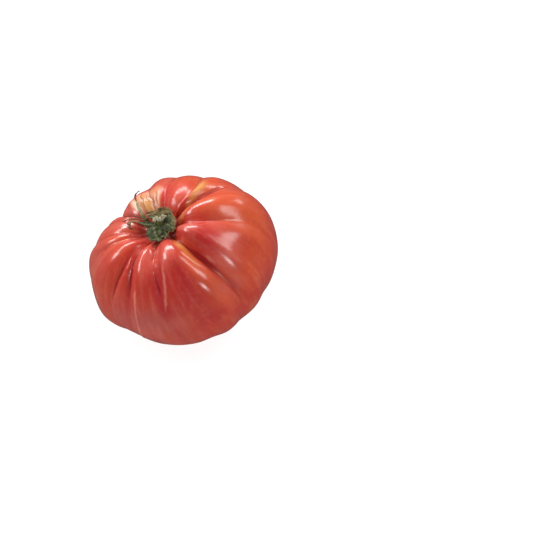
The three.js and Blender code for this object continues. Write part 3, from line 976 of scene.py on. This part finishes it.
colour = mix_colours(tree, pale, colour, LEAF_PALE)
leaf_relief = bump(tree, leaf_mottle, 0.3 * MM, 0.5)
fill(tree, leaf_shader, {
    "Base Color": colour, "Roughness": remap(tree, leaf_fine, 0.3, 0.7, 0.6, 0.85),
    "Specular IOR Level": 0.3, "Normal": bump(tree, leaf_fine, 0.12 * MM, 0.5, leaf_relief),
    "Sheen Weight": 0.12, "Sheen Roughness": 0.4})
for piece in [*sepals, disc]:
    dress(piece, leaf_material)
    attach(piece, "root")
    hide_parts("calyx")
print("leaf material:", len(tree.nodes), "nodes, on", len(sepals) + 1, "pieces")

# %% [markdown]
# The stub is what stays of the stalk when the fruit is pulled off. It starts as a flat round face,
# which is extruded upwards ring by ring. The top is then inset and pushed down into a hollow.

# %% Stub: rings of a torn stalk
STUB_COLUMNS = 60
STUB_RINGS = 14
STUB_RADIUS = 3.9
STUB_HEIGHT = 7.6
STUB_WALL = 1.3
STUB_CORE = 0.8
HOLLOW_STEPS = (0.0, 1.2, 1.4)

bpy.ops.object.select_all(action="DESELECT")
bpy.ops.mesh.primitive_circle_add(vertices=STUB_COLUMNS, radius=STUB_RADIUS, fill_type="NGON")
stub = bpy.context.active_object
stub.name = "torn_stub"
bpy.ops.object.mode_set(mode="EDIT")
bpy.ops.mesh.select_all(action="SELECT")
for _ in range(STUB_RINGS):
    bpy.ops.mesh.extrude_region_move(TRANSFORM_OT_translate={"value": (0, 0, STUB_HEIGHT / STUB_RINGS)})
for depth in HOLLOW_STEPS:
    bpy.ops.mesh.inset(thickness=STUB_WALL / 2)
    bpy.ops.transform.translate(value=(0, 0, -depth))
bpy.ops.mesh.inset(thickness=STUB_CORE)
bpy.ops.mesh.merge(type="CENTER")
bpy.ops.mesh.select_all(action="SELECT")
bpy.ops.mesh.normals_make_consistent(inside=False)
bpy.ops.object.mode_set(mode="OBJECT")
print("stub rings:", len(stub.data.vertices), "points")

# %% [markdown]
# The rings are then ridged along the stalk, waisted and bent a little backwards. The wall towards
# the camera tore off highest, so the top slants, and its rim is pulled into ragged teeth of fibre.

# %% Stub: ridges, bend and the torn rim
STUB_FOOT = SEAT_HEIGHT + 3.0
STUB_OFFSET = (2.2, 0.4)
STUB_BEND = (1.8, 0.8)
TORN_SIDE = math.radians(262)
TORN_SLANT = 3.6
TORN_DROP = 1.6
TOOTH_COLUMNS = 3
LUMP_SIZE = 1.6 * MM
LUMP_HEIGHT = 0.5 * MM

draw = random.Random(11)
teeth = np.repeat([draw.uniform(-1.0, 1.2) for _ in range(STUB_COLUMNS // TOOTH_COLUMNS)], TOOTH_COLUMNS)
places = points_of(stub)
azimuth = np.arctan2(places[:, 1], places[:, 0])
column = np.rint(azimuth / (2 * math.pi) * STUB_COLUMNS).astype(int) % STUB_COLUMNS
share = np.clip(places[:, 2] / STUB_HEIGHT, 0, 1)
out = np.hypot(places[:, 0], places[:, 1]) / STUB_RADIUS
ridges = 0.09 * np.cos(5 * azimuth + 0.4) + 0.045 * np.cos(11 * azimuth) + 0.03 * teeth[column]
waist = 0.1 * share - 0.12 * np.sin(math.pi * share)
places[:, :2] *= (1 + (ridges + waist) * out)[:, None]
torn = fade(share, 0.35, 1)
slant = TORN_SLANT * (np.cos(azimuth - TORN_SIDE) * out) - TORN_DROP
places[:, 2] += torn * (slant + teeth[column] * fade(out, 0.3, 0.9) * fade(share, 0.75, 1))
bend = (np.clip(places[:, 2], 0, None) / STUB_HEIGHT) ** 2
places[:, 0] += STUB_OFFSET[0] + STUB_BEND[0] * bend
places[:, 1] += STUB_OFFSET[1] + STUB_BEND[1] * bend
places[:, 2] += STUB_FOOT
keep_on_points(stub, "torn", fade(share, 0.55, 0.9))
keep_grain(stub, azimuth, share * 0.25)
move_points(stub, leaned(places * MM))
finish_modifier(stub, "SUBSURF", levels=2, render_levels=2)
finish_modifier(stub, "DISPLACE", texture=clouds("stalk_lumps", LUMP_SIZE), texture_coords="LOCAL",
                strength=LUMP_HEIGHT, mid_level=0.6)
print("stub:", triangle_count(stub), "triangles")

# %% [markdown]
# The stalk is a lighter green than the sepals, with dull streaks along it, and its torn rim is a
# pale straw colour where the fibres dried.

# %% Stalk finish
STALK_GREEN = (0.2, 0.22, 0.07, 1)
STALK_SHADE = (0.05, 0.058, 0.016, 1)
STRAW = (0.7, 0.68, 0.5, 1)
STRAW_SHADE = (0.22, 0.18, 0.09, 1)

stalk_material, tree, stalk_shader = new_material("stalk")
stalk_grain = attribute(tree, "grain", "Vector")
stalk_streaks = noise(tree, 9, 5, stalk_grain, 0.65)
stalk_mottle = noise(tree, 520, 4)
green = mix_colours(tree, remap(tree, stalk_streaks, 0.38, 0.62), STALK_SHADE, STALK_GREEN)
green = mix_colours(tree, remap(tree, stalk_mottle, 0.5, 0.75, 0, 0.5), green, STALK_SHADE)
straw = mix_colours(tree, remap(tree, stalk_streaks, 0.35, 0.6), STRAW_SHADE, STRAW)
rim = maths(tree, "ADD", attribute(tree, "torn"), remap(tree, stalk_streaks, 0.3, 0.7, -0.2, 0.2))
colour = mix_colours(tree, remap(tree, rim, 0.35, 0.75), green, straw)
stalk_relief = bump(tree, stalk_streaks, 0.4 * MM, 0.6)
fill(tree, stalk_shader, {
    "Base Color": colour, "Roughness": remap(tree, stalk_mottle, 0.3, 0.7, 0.6, 0.9),
    "Specular IOR Level": 0.3, "Normal": bump(tree, stalk_mottle, 0.2 * MM, 0.5, stalk_relief)})
dress(stub, stalk_material)
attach(stub, "root")
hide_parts("stem_stub")
print("stalk material:", len(tree.nodes), "nodes")

# %% [markdown]
# Light. A lit white table and a pale room give the even light of a studio almost without shadows.
# The table isn't seen in reflections, and the room is darker there, as the black cloths round a
# studio table make it, or else its pale reflection would wash out the red.

# %% Floor and room
FLOOR_SIZE = 4
FLOOR_GREY = 0.2
FLOOR_GLOW = 0.9
ROOM_GLOW = 0.32
MIRRORED_ROOM_GLOW = 0.1

bpy.ops.object.select_all(action="DESELECT")
bpy.ops.mesh.primitive_plane_add(size=FLOOR_SIZE, location=(0, 0, 0))
floor = bpy.context.active_object
floor.name = "floor"
floor_material, tree, floor_shader = new_material("floor")
fill(tree, floor_shader, {
    "Base Color": (FLOOR_GREY, FLOOR_GREY, FLOOR_GREY, 1), "Roughness": 1, "Specular IOR Level": 0,
    "Emission Color": (1, 1, 1, 1), "Emission Strength": FLOOR_GLOW})
floor.data.materials.append(floor_material)
floor.visible_glossy = False

world = bpy.data.worlds.new("room")
world.use_nodes = True
room = world.node_tree
mirrored = add_node(room, "ShaderNodeLightPath", {}, "Is Glossy Ray")
fill(room, room.nodes["Background"], {
    "Color": (1, 1, 1, 1), "Strength": remap(room, mirrored, 0, 1, ROOM_GLOW, MIRRORED_ROOM_GLOW)})
bpy.context.scene.world = world
bpy.context.scene.view_settings.view_transform = "Standard"
print("floor", FLOOR_SIZE, "m wide, room light", ROOM_GLOW, "and", MIRRORED_ROOM_GLOW, "in reflections")

# %% [markdown]
# Soft boxes do the rest. Tomato skin mirrors each of them as a streak on every rib, so they stand
# where the streaks on the real fruit say: two behind it, two at its left, a dim one at its right,
# and a weak one at the camera's side.

# %% Soft lights
LIGHT_DISTANCE = 1.2
# Each light: name, azimuth (0 is behind the fruit, 90 at its right), elevation, width and height
# (m), brightness
LIGHTS = [
    ("key_light", -20, 40, 0.72, 0.36, 13), ("between_light", -51, 38, 0.52, 0.22, 9),
    ("left_light", -82, 34, 0.44, 0.34, 11), ("right_light", 82, 54, 0.46, 0.46, 6),
    ("back_light", 40, 26, 0.2, 0.28, 15), ("front_light", 152, 32, 0.3, 0.26, 11),
]

for name, azimuth, elevation, width, height, brightness in LIGHTS:
    turn, rise = math.radians(azimuth), math.radians(elevation)
    direction = Vector((math.sin(turn) * math.cos(rise), math.cos(turn) * math.cos(rise), math.sin(rise)))
    data = bpy.data.lights.new(name, "AREA")
    data.shape = "RECTANGLE"
    data.size = width
    data.size_y = height
    data.energy = brightness * math.pi * width * height
    lamp = bpy.data.objects.new(name, data)
    lamp.location = FRUIT_CENTRE + direction * LIGHT_DISTANCE
    lamp.rotation_euler = direction.to_track_quat("Z", "Y").to_euler()
    bpy.context.collection.objects.link(lamp)
    print(name, "of", round(data.energy, 1), "watts")
